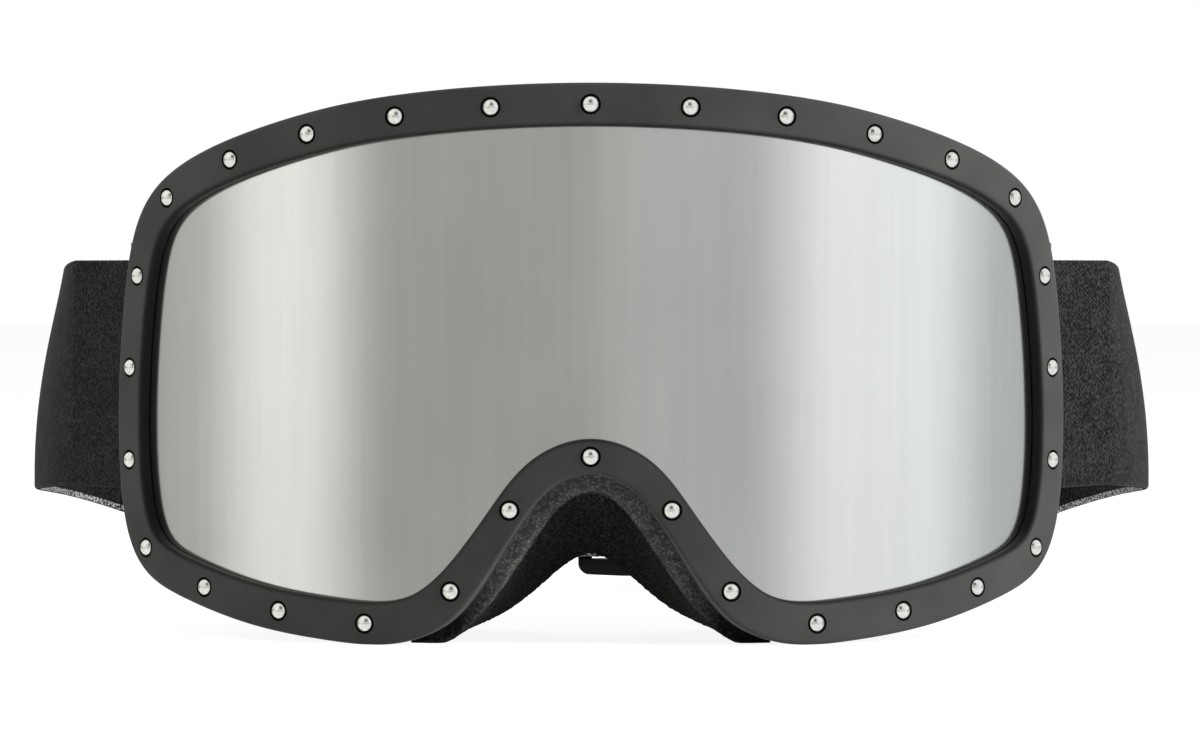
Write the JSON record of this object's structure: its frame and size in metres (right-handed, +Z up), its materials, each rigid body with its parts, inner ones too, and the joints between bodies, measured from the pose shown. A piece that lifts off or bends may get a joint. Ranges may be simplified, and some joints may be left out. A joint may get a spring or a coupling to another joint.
{
  "type": "snow goggles",
  "caption": "Wide cylindrical snow goggles: studded moulded rim, mirrored one-piece lens, vented frame, layered face foam and a wide elastic strap with slider and ring.",
  "frame": {"origin": "on the resting surface, under the middle of the goggles' bounding box", "axes": "+Z up as worn, -Y the way the wearer looks, +X to the right of someone who faces the lens"},
  "size_m": [0.2256, 0.1872, 0.1028],
  "materials": {
    "rim_plastic": "matte, fine satin gradient",
    "stud_steel": "polished",
    "mirror_lens": "silver mirror coating",
    "spacer_foam": "closed-cell foam",
    "clear_lens": "clear, anti-fog",
    "frame_plastic": "soft moulded frame",
    "vent_foam": "open-cell filter foam",
    "face_foam": "open-cell foam",
    "fleece": "brushed fleece",
    "bar_steel": "drawn wire",
    "webbing": "woven elastic webbing",
    "adjuster_plastic": "smooth moulded"
  },
  "bodies": {
    "goggle": {"front_rim": "rim_plastic", "rim_studs": "stud_steel", "outer_lens": "mirror_lens", "lens_gasket": "spacer_foam", "inner_lens": "clear_lens", "frame_body": "frame_plastic", "top_vent_foam": "vent_foam", "lower_vent_foam_left": "vent_foam", "lower_vent_foam_right": "vent_foam", "face_foam_base": "face_foam", "face_foam_pad": "face_foam", "face_fleece": "fleece", "nose_foam": "face_foam", "strap_bar_left": "bar_steel", "strap_bar_right": "bar_steel"},
    "strap_side_left": {"strap_end_left": "webbing", "strap_side_left": "webbing", "strap_corner_left": "webbing"},
    "strap_side_right": {"strap_end_right": "webbing", "strap_side_right": "webbing", "strap_corner_right": "webbing"},
    "strap_back": {"strap_back_left": "webbing", "strap_back_right": "webbing", "strap_ring": "adjuster_plastic", "strap_tail": "webbing"},
    "slider": {"slider": "adjuster_plastic", "tail_loop": "webbing"}
  },
  "joints": [
    {"name": "strap_swing", "type": "hinge", "parent": "goggle", "child": "strap_side_left", "pos_m": [-0.0856, -0.03642, 0.04868], "axis": [0, 0, 1], "range_deg": [-35, 35]},
    {"name": "left_corner_bend", "type": "hinge", "parent": "strap_side_left", "child": "strap_back", "pos_m": [-0.0856, 0.07758, 0.037], "axis": [0, 0, 1], "range_deg": [-36, 36], "deforming": ["strap_corner_left"]},
    {"name": "right_corner_bend", "type": "hinge", "parent": "strap_back", "child": "strap_side_right", "pos_m": [0.0856, 0.07758, 0.037], "axis": [0, 0, 1], "range_deg": [-36, 36], "deforming": ["strap_corner_right"]},
    {"name": "slider_slide", "type": "slide", "parent": "strap_back", "child": "slider", "axis": [1, 0, 0], "range_m": [-0.05, 0.008], "deforming": ["strap_tail"]}
  ],
  "couplings": [
    {"joint": "left_corner_bend", "follows": "strap_swing", "ratio": -1},
    {"joint": "right_corner_bend", "follows": "strap_swing", "ratio": 1}
  ]
}
